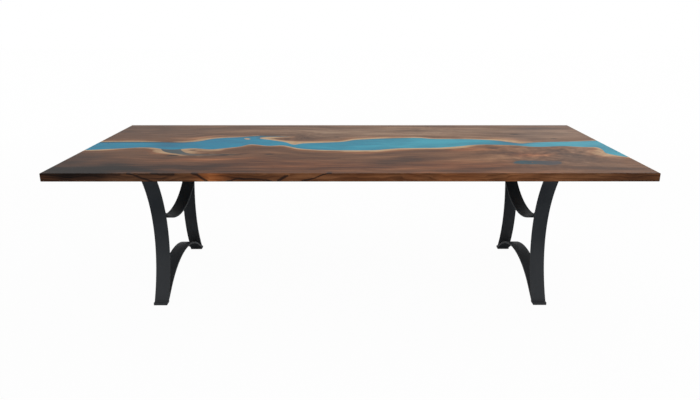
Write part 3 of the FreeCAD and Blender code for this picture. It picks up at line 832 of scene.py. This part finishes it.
river = gridded_piece("river_resin", CELL, "river_pour", river_blue, "river_resin")
river_points = points_of(river)
remember(
    river,
    back_shore=distances(river, "back_slab"),
    sunken_wood=np.minimum(round_spots(river_points, SUNKEN_WOOD_AND_SHADE), 1.0),
    deep_places=round_spots(river_points, RIVER_SHADE_SPOTS),
)
pocket = merged_copy("left_pocket_resin")
make_piece(pocket, "pocket_pour", pocket_grey, "pocket_resin", "left_pocket_resin")
void = gridded_piece("right_void_resin", SMALL_CELL, "void_pour", void_teal, "river_resin")
remember(void, rim_gap=distances(void, "front_slab"))
print("river points:", len(river_points))

# %% [markdown]
# ## The splinter in the river
#
# A small broken piece of sapwood stands in the resin near the headland. It has the same
# fibres as the slabs but no heartwood, so it gets a short material of its own.

# %% Splinter
splinter_wood, tree, spot = new_finish("splinter_sapwood", (0.5, 0.35, 0.2))
x, y, z = axes(tree, spot)
fibres = place_group(tree, "wood_figure", y, x, z)["Fibres"]
pale = ramp(tree, calc(tree, "MULTIPLY_ADD", fibres, 0.9, 0.15), SAPWOOD)
relief = add_bump(tree, fibres, 0.25, 0.15 * MM)
satin = calc(tree, "MULTIPLY_ADD", fibres, 0.12, 0.42)
surface(splinter_wood, Base_Color=pale, Roughness=satin, Normal=relief, Specular_IOR_Level=0.13)
splinter = merged_copy("river_wood_island")
make_piece(splinter, "river_splinter", splinter_wood, "sapwood", "river_wood_island")

# %% [markdown]
# ## Powder-coated steel
#
# Powder is sprayed on dry and baked, and it melts into a tough, slightly pebbled skin.
# The pebbling, called orange peel, is about a millimetre across and only hundredths of a
# millimetre high. It breaks up the highlights on the bars, and that makes the black read
# as paint and not as plastic. The bars are painted a little lighter and greyer towards
# the floor, which is painted light. Their undersides are painted darker, which is painted
# shade, and the coat is made duller there. Zinc plate and rubber have a grit of their own
# at other scales. So the grit is a group that all of them share, and the painted light
# and shade is one that goes on the coated steel.

# %% Node groups for grit and for painted light and shade
tree, given = new_group("fine_grit", {"Position": None, "Grain Size": 0.001, "Cloud Size": 0.15})
grit = plain_noise(tree, given["Position"], calc(tree, "DIVIDE", 1.0, given["Grain Size"]), 2.0)
clouds = plain_noise(tree, given["Position"], calc(tree, "DIVIDE", 1.0, given["Cloud Size"]), 3.0)
give_results(tree, {"Grit": grit, "Clouds": clouds})

# Painted light: below this height the coat is painted lighter and greyer, except on its undersides.
PAINTED_LIGHT_TOP = 0.50

tree, given = new_group("painted_light_and_shade", {"Height": 0.0, "Facing Up": 0.0, "Amount": 0.5})
low_down = fade(tree, given["Height"], PAINTED_LIGHT_TOP, 0.0)
lit_low = calc(tree, "MULTIPLY", low_down, fade(tree, given["Facing Up"], -0.75, -0.50))
lit_low = calc(tree, "MULTIPLY", lit_low, given["Amount"])
# Painted shade: the undersides, where the coat is also made duller.
underside_shade = calc(tree, "MULTIPLY", fade(tree, given["Facing Up"], -0.50, -0.75), given["Amount"])
give_results(tree, {"Lit Low": lit_low, "Underside Shade": underside_shade})


# %% Metal and rubber materials
# The grey that paints light low down, and the cast that paints shade on undersides.
PAINTED_LIGHT_GREY = (0.080, 0.083, 0.088, 1)
UNDERSIDE_SHADE_CAST = (0.3, 0.3, 0.3, 1)
PAINTED_LIGHT_AMOUNT = 0.55


def gritty_finish(name, dark, light, grain, rough, relief_height, painted_light=0.0, **constants):
    """A finish whose colour drifts in clouds, with fine grit, and where asked, painted light towards the
    floor and painted shade underneath.
    """
    finish, tree, spot = new_finish(name, light[:3])
    grit = place_group(tree, "fine_grit", spot, grain)
    colour = mix_colours(tree, fade(tree, grit["Clouds"], 0.3, 0.7), dark, light)
    colour = mix_colours(tree, fade(tree, grit["Grit"], 0.55, 0.75), colour, light)
    gloss = calc(tree, "MULTIPLY_ADD", grit["Clouds"], 0.14, rough - 0.07)
    if painted_light:
        # Painted light towards the floor, and painted shade with a duller coat on the undersides.
        facing = put(tree, "ShaderNodeNewGeometry").outputs["Normal"]
        light_and_shade = place_group(tree, "painted_light_and_shade", axes(tree, spot)[2], axes(tree, facing)[2], painted_light)
        colour = mix_colours(tree, light_and_shade["Lit Low"], colour, PAINTED_LIGHT_GREY)
        # Painted shade darkens the undersides.
        colour = tint(tree, light_and_shade["Underside Shade"], colour, UNDERSIDE_SHADE_CAST)
        gloss = calc(tree, "MULTIPLY_ADD", light_and_shade["Underside Shade"], 0.80, gloss)
    relief = add_bump(tree, grit["Grit"], 0.5, relief_height)
    surface(finish, Base_Color=colour, Roughness=gloss, Normal=relief, **constants)
    return finish


powder_coat = gritty_finish("black_powder_coat", (0.0300, 0.0345, 0.0395, 1), (0.0420, 0.0470, 0.0530, 1),
                            1.3 * MM, 0.50, 0.05 * MM, PAINTED_LIGHT_AMOUNT, Specular_IOR_Level=0.020)
weld_coat = gritty_finish("powder_over_weld", (0.0305, 0.0350, 0.0400, 1), (0.0425, 0.0480, 0.0540, 1),
                          1.0 * MM, 0.46, 0.06 * MM, PAINTED_LIGHT_AMOUNT, Specular_IOR_Level=0.035)
black_zinc = gritty_finish("black_zinc_plate", (0.020, 0.020, 0.022, 1), (0.050, 0.050, 0.055, 1),
                           0.4 * MM, 0.34, 0.01 * MM, Metallic=0.7)
bright_zinc = gritty_finish("bright_zinc_plate", (0.42, 0.42, 0.44, 1), (0.56, 0.56, 0.57, 1),
                            0.5 * MM, 0.30, 0.01 * MM, Metallic=1.0)
rubber = gritty_finish("black_rubber", (0.012, 0.012, 0.012, 1), (0.022, 0.022, 0.022, 1),
                       0.6 * MM, 0.75, 0.05 * MM, Specular_IOR_Level=0.3)
COAT = (powder_coat, "black_powder_coat")

# %% [markdown]
# ## Bending the bars
#
# Every leg, bow and arch is one length of flat bar, 70 by 10 mm, with slightly rounded
# arrises, bent the easy way round a former. Spinning the bar's section round the centre
# of its bend does the same here. The bar starts longer than it needs to be and is then
# cut to its seat with a plane, as a saw would cut it.

# %% Sizes of the trestles
BAR_ARRIS = 0.6 * MM
LEG_CENTRE_Y = 0.890
LEG_CENTRE_Z = 0.320
LEG_RADII = (0.640, 0.650)
BOW_CENTRE_Z = 0.7955
BOW_RADII = (0.418, 0.428)
BOW_REACH = 0.285
ARCH_CENTRE_Z = -0.2885
ARCH_RADII = (0.430, 0.440)
ARCH_BEND = math.radians(37.5)
ARCH_RUN = 0.16

foot_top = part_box("left_front_foot_plate")[1].z
plate_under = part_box("left_mounting_plate")[0].z
print("foot top", round(foot_top, 4), "plate underside", round(plate_under, 4))


# %% Helpers for bars
def bar_section(node, radii, centre_y, centre_z, angle):
    """The rounded end face of a bar as wide as its node, set at an angle on its bend."""
    low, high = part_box(node)
    bm = bmesh.new()
    bmesh.ops.create_grid(bm, x_segments=1, y_segments=1, size=0.5)
    bmesh.ops.scale(bm, vec=(high.x - low.x, radii[1] - radii[0], 1), verts=bm.verts)
    bmesh.ops.bevel(bm, geom=bm.verts[:], offset=BAR_ARRIS, segments=3, profile=0.5,
                    affect="VERTICES", material=-1)
    middle = ((low.x + high.x) / 2, sum(radii) / 2, 0)
    bmesh.ops.translate(bm, vec=middle, verts=bm.verts)
    bmesh.ops.rotate(bm, cent=(0, 0, 0), matrix=Matrix.Rotation(angle, 3, "X"), verts=bm.verts)
    bmesh.ops.translate(bm, vec=(0, centre_y, centre_z), verts=bm.verts)
    return bm


def only(kind, parts):
    """Those parts of a mesh that are of one kind."""
    return [part for part in parts if isinstance(part, kind)]


def saw(bm, point, normal):
    """Cut a bar with a plane, drop what the normal points at and close the cut."""
    cut = bmesh.ops.bisect_plane(bm, geom=everything(bm), plane_co=point, plane_no=normal, clear_outer=True)
    bmesh.ops.edgeloop_fill(bm, edges=only(bmesh.types.BMEdge, cut["geom_cut"]))


def spin_bar(bm, geom, centre_y, centre_z, sweep, steps=36):
    """Bend a bar by spinning its end face about a line along the table."""
    spun = bmesh.ops.spin(bm, geom=geom, cent=(0, centre_y, centre_z), axis=(1, 0, 0),
                          angle=sweep, steps=steps)
    return spun["geom_last"]


def leg_reach(height, radius):
    """How far a leg's bent face stands from the middle of the table at a height."""
    return LEG_CENTRE_Y - math.sqrt(radius ** 2 - (height - LEG_CENTRE_Z) ** 2)


# %% Legs
LEG_SPARE = 0.05


def bent_leg(name, node, end):
    """A leg that bows inwards, from its foot plate up to the mounting plate."""
    lowest = math.asin((foot_top - LEG_CENTRE_Z) / LEG_RADII[0]) - LEG_SPARE
    highest = math.asin((plate_under - LEG_CENTRE_Z) / LEG_RADII[0]) + LEG_SPARE
    first = lowest if end < 0 else math.pi - highest
    bm = bar_section(node, LEG_RADII, end * LEG_CENTRE_Y, LEG_CENTRE_Z, first)
    spin_bar(bm, everything(bm), end * LEG_CENTRE_Y, LEG_CENTRE_Z, highest - lowest, steps=44)
    bmesh.ops.recalc_face_normals(bm, faces=bm.faces)
    saw(bm, (0, 0, foot_top), (0, 0, -1))
    saw(bm, (0, 0, plate_under), (0, 0, 1))
    return make_piece(bm, name, *COAT, node)


# %% [markdown]
# ## Bow and arch
#
# The upper bow sags between the legs, and the lower arch rises between the feet. Both are
# coped: their ends are cut to lie on the inner face of the leg. That face is so gently
# curved that over ten millimetres of bar a plane fits it to a few hundredths.

# %% Where the bars meet
def meeting_height(face, low, high):
    """Height between two others where a bar's face crosses the legs' inner face."""
    outside_at_low = face(low) > leg_reach(low, LEG_RADII[1])
    for _ in range(50):
        middle = (low + high) / 2
        if (face(middle) > leg_reach(middle, LEG_RADII[1])) == outside_at_low:
            low = middle
        else:
            high = middle
    return low


def bow_face(radius):
    """A face of the upper bow, as its distance from the middle at a height."""
    return lambda height: math.sqrt(max(radius ** 2 - (BOW_CENTRE_Z - height) ** 2, 0))


def arch_face(radius):
    """A face of the arch's straight end, as its distance from the middle at a height."""
    bend_y = radius * math.sin(ARCH_BEND)
    bend_z = ARCH_CENTRE_Z + radius * math.cos(ARCH_BEND)
    return lambda height: bend_y + (bend_z - height) / math.tan(ARCH_BEND)


bow_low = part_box("left_upper_bow")[0].z
bow_joints = [meeting_height(bow_face(radius), bow_low, plate_under) for radius in BOW_RADII]
arch_joint = meeting_height(arch_face(ARCH_RADII[1]), foot_top, LEG_CENTRE_Z)
print("bow meets the leg at", [round(h, 4) for h in bow_joints], "arch at", round(arch_joint, 4))


# %% Bows and arches
def cope(bm, heights):
    """Cut both ends of a bar along the legs' inner faces between two heights."""
    low, high = sorted(heights)
    for end in (-1, 1):
        near = Vector((0, end * leg_reach(low, LEG_RADII[1]), low))
        far = Vector((0, end * leg_reach(high, LEG_RADII[1]), high))
        normal = Vector((0, (far - near).z, (near - far).y)) * end
        saw(bm, near, normal)


def pull(bm, face, way):
    """Pull a face out of a bar along a straight way."""
    grown = bmesh.ops.extrude_face_region(bm, geom=[face])["geom"]
    bmesh.ops.translate(bm, vec=way, verts=only(bmesh.types.BMVert, grown))
    return only(bmesh.types.BMFace, grown)[0]


def upper_bow(name, node):
    """The sagging tie between the legs."""
    sweep = 2 * math.asin(BOW_REACH / BOW_RADII[1])
    bm = bar_section(node, BOW_RADII, 0, BOW_CENTRE_Z, -math.pi / 2 - sweep / 2)
    spin_bar(bm, everything(bm), 0, BOW_CENTRE_Z, sweep)
    bmesh.ops.recalc_face_normals(bm, faces=bm.faces)
    cope(bm, bow_joints)
    return make_piece(bm, name, *COAT, node)


def lower_arch(name, node):
    """The arch between the feet, with its straight ends."""
    first = math.pi / 2 - ARCH_BEND
    down = Vector((0, math.sin(first), -math.cos(first))) * ARCH_RUN
    bm = bar_section(node, ARCH_RADII, 0, ARCH_CENTRE_Z, first)
    bmesh.ops.translate(bm, vec=down, verts=bm.verts)
    bend_start = pull(bm, bm.faces[:][0], -down)
    spun = spin_bar(bm, [bend_start], 0, ARCH_CENTRE_Z, 2 * ARCH_BEND)
    pull(bm, only(bmesh.types.BMFace, spun)[0], Vector((0, -down.y, down.z)))
    bmesh.ops.recalc_face_normals(bm, faces=bm.faces)
    cope(bm, (foot_top, arch_joint))
    saw(bm, (0, 0, foot_top), (0, 0, -1))
    return make_piece(bm, name, *COAT, node)


# %% [markdown]
# ## Plates, feet and glides
#
# The plates are laser-cut and linished, so their edges are only just broken. A foot plate
# is a block whose toe has two large rounded corners. The mounting plate has slots, which
# let the top move with the seasons, and keeps its CAD outline. All get a fine bevel that
# catches the light.

# %% Plates
FOOT_CORNER = 8 * MM
FOOT_EDGE = 0.8 * MM
PLATE_EDGE = 0.6 * MM
GLIDE_EDGE = 0.5 * MM
SHARP_ANGLE = math.radians(30)


def round_off(bm, edges, width, segments):
    """Round some edges of a mesh."""
    bmesh.ops.bevel(bm, geom=edges, offset=width, segments=segments, profile=0.5,
                    affect="EDGES", material=-1, clamp_overlap=True)


def break_edges(bm, width):
    """A fine bevel on every sharp edge."""
    sharp = [e for e in bm.edges if len(e.link_faces) == 2 and e.calc_face_angle() > SHARP_ANGLE]
    round_off(bm, sharp, width, 2)


def foot_plate(name, node):
    """A flat foot with rounded corners at the toe."""
    low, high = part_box(node)
    toe = max(low.y, high.y, key=abs)
    bm = bmesh.new()
    bmesh.ops.create_cube(bm, size=1)
    bmesh.ops.scale(bm, vec=high - low, verts=bm.verts)
    bmesh.ops.translate(bm, vec=(low + high) / 2, verts=bm.verts)
    corners = []
    for edge in bm.edges:
        ends = [v.co for v in edge.verts]
        if abs(ends[0].z - ends[1].z) > 1 * MM and abs(ends[0].y - toe) < 1 * MM:
            corners.append(edge)
    round_off(bm, corners, FOOT_CORNER, 7)
    break_edges(bm, FOOT_EDGE)
    return make_piece(bm, name, *COAT, node)


def plate_copy(name, node, finish, slot, width):
    """A CAD plate with its sharp edges broken."""
    bm = merged_copy(node)
    break_edges(bm, width)
    return make_piece(bm, name, finish, slot, node)


# %% [markdown]
# ## Weld beads
#
# A hand-laid bead is a row of small overlapping puddles, each a little crescent, with
# tapered ends. A rod lies in each corner where two bars meet. Its rings are swelled and
# pinched along its length, and the ripple leans with the angle round the rod to give the
# crescents.

# %% Weld beads
BEAD_RADIUS = 4.4 * MM
BOW_BEAD_RADIUS = 4.8 * MM
ARCH_BEAD_RADIUS = 8.0 * MM
BEAD_PITCH = 3.4 * MM
BEAD_RIPPLE = 0.075
BEAD_LEAN = 0.18
BEAD_TAPER = 6 * MM
BEAD_TIP = 0.12
BEAD_RINGS = 52


def prism(bm, sides, radius, height):
    """An upright bar with equal sides, as its points."""
    made = bmesh.ops.create_cone(bm, cap_ends=True, segments=sides, radius1=radius, radius2=radius,
                                 depth=height)
    return made["verts"]


def weld_bead(bm, x_low, x_high, y, z, radius):
    """Rippled rod along the table from x_low to x_high."""
    length = x_high - x_low
    rod = bmesh.new()
    prism(rod, 12, radius, length)
    bmesh.ops.rotate(rod, cent=(0, 0, 0), matrix=Matrix.Rotation(math.pi / 2, 3, "Y"), verts=rod.verts)
    longways = [edge for edge in rod.edges if abs(edge.verts[0].co.x - edge.verts[1].co.x) > length / 2]
    bmesh.ops.subdivide_edges(rod, edges=longways, cuts=BEAD_RINGS)
    for vert in rod.verts:
        angle = math.atan2(vert.co.z, vert.co.y)
        phase = vert.co.x / BEAD_PITCH + BEAD_LEAN * math.cos(2 * angle)
        swell = 1 + BEAD_RIPPLE * math.cos(2 * math.pi * phase)
        from_end = length / 2 - abs(vert.co.x)
        taper = math.sqrt(min(1.0, BEAD_TIP + from_end / BEAD_TAPER))
        vert.co.y *= swell * taper
        vert.co.z *= swell * taper
    bmesh.ops.translate(rod, vec=((x_low + x_high) / 2, y, z), verts=rod.verts)
    laid = bpy.data.meshes.new("laid_bead")
    rod.to_mesh(laid)
    rod.free()
    bm.from_mesh(laid)
    bpy.data.meshes.remove(laid)


def weld_beads(name, node):
    """All the beads of a trestle."""
    low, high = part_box(node)
    seams = [
        (LEG_RADII[0], plate_under, BEAD_RADIUS),
        (LEG_RADII[1], plate_under, BEAD_RADIUS),
        (LEG_RADII[0], foot_top, BEAD_RADIUS),
        (LEG_RADII[1], bow_joints[0], BOW_BEAD_RADIUS),
        (LEG_RADII[1], bow_joints[1], BOW_BEAD_RADIUS),
        (LEG_RADII[1], arch_joint, ARCH_BEAD_RADIUS),
    ]
    bm = bmesh.new()
    for face_radius, height, radius in seams:
        for end in (-1, 1):
            weld_bead(bm, low.x, high.x, end * leg_reach(height, face_radius), height, radius)
    return make_piece(bm, name, weld_coat, "black_powder_coat", node, crease=60)


# %% [markdown]
# ## Bolts
#
# Four M8 hexagon bolts hold each plate. They are seen only from below, but their heads
# are plain hexagons with a softened rim, so they are worth making: a cone of six sides
# with equal ends is the head, and one of 24 sides is the shank.

# %% Bolts
BOLT_FLATS = 13 * MM
BOLT_HEAD = 5.5 * MM
BOLT_RIM = 0.9 * MM
BOLT_LENGTH = 25 * MM
BOLT_RADIUS = 4 * MM


def mount_bolts(name, node):
    """The four bolts of one mounting plate."""
    low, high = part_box(node)
    corner = BOLT_FLATS / math.cos(math.pi / 6) / 2
    bottom = plate_under - BOLT_HEAD
    bm = bmesh.new()
    for x in (low.x + corner, high.x - corner):
        for y in (low.y + BOLT_FLATS / 2, high.y - BOLT_FLATS / 2):
            head = prism(bm, 6, corner, BOLT_HEAD)
            turn_round = Matrix.Rotation(math.pi / 6, 3, "Z")
            bmesh.ops.rotate(bm, cent=(0, 0, 0), matrix=turn_round, verts=head)
            bmesh.ops.translate(bm, vec=(x, y, plate_under - BOLT_HEAD / 2), verts=head)
            rim = {e for v in head for e in v.link_edges
                   if all(abs(p.co.z - bottom) < 0.1 * MM for p in e.verts)}
            round_off(bm, list(rim), BOLT_RIM, 3)
            shank = prism(bm, 24, BOLT_RADIUS, BOLT_LENGTH)
            bmesh.ops.translate(bm, vec=(x, y, plate_under + BOLT_LENGTH / 2), verts=shank)
    return make_piece(bm, name, black_zinc, "black_zinc", node)


# %% Make both trestles
for side in ("left", "right"):
    for place, end in (("front", -1), ("back", 1)):
        corner = side + "_" + place
        bent_leg(corner + "_leg_bar", corner + "_leg", end)
        foot_plate(corner + "_foot", corner + "_foot_plate")
        plate_copy(corner + "_glide_pad", corner + "_glide", rubber, "black_rubber", GLIDE_EDGE)
    upper_bow(side + "_bow_bar", side + "_upper_bow")
    lower_arch(side + "_arch_bar", side + "_lower_arch")
    plate_copy(side + "_slotted_plate", side + "_mounting_plate", *COAT, PLATE_EDGE)
    weld_beads(side + "_welds", side + "_weld_beads")
    mount_bolts(side + "_bolts", side + "_mount_bolts")
    for material_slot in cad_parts[side + "_mount_inserts"].material_slots:
        material_slot.material = bright_zinc
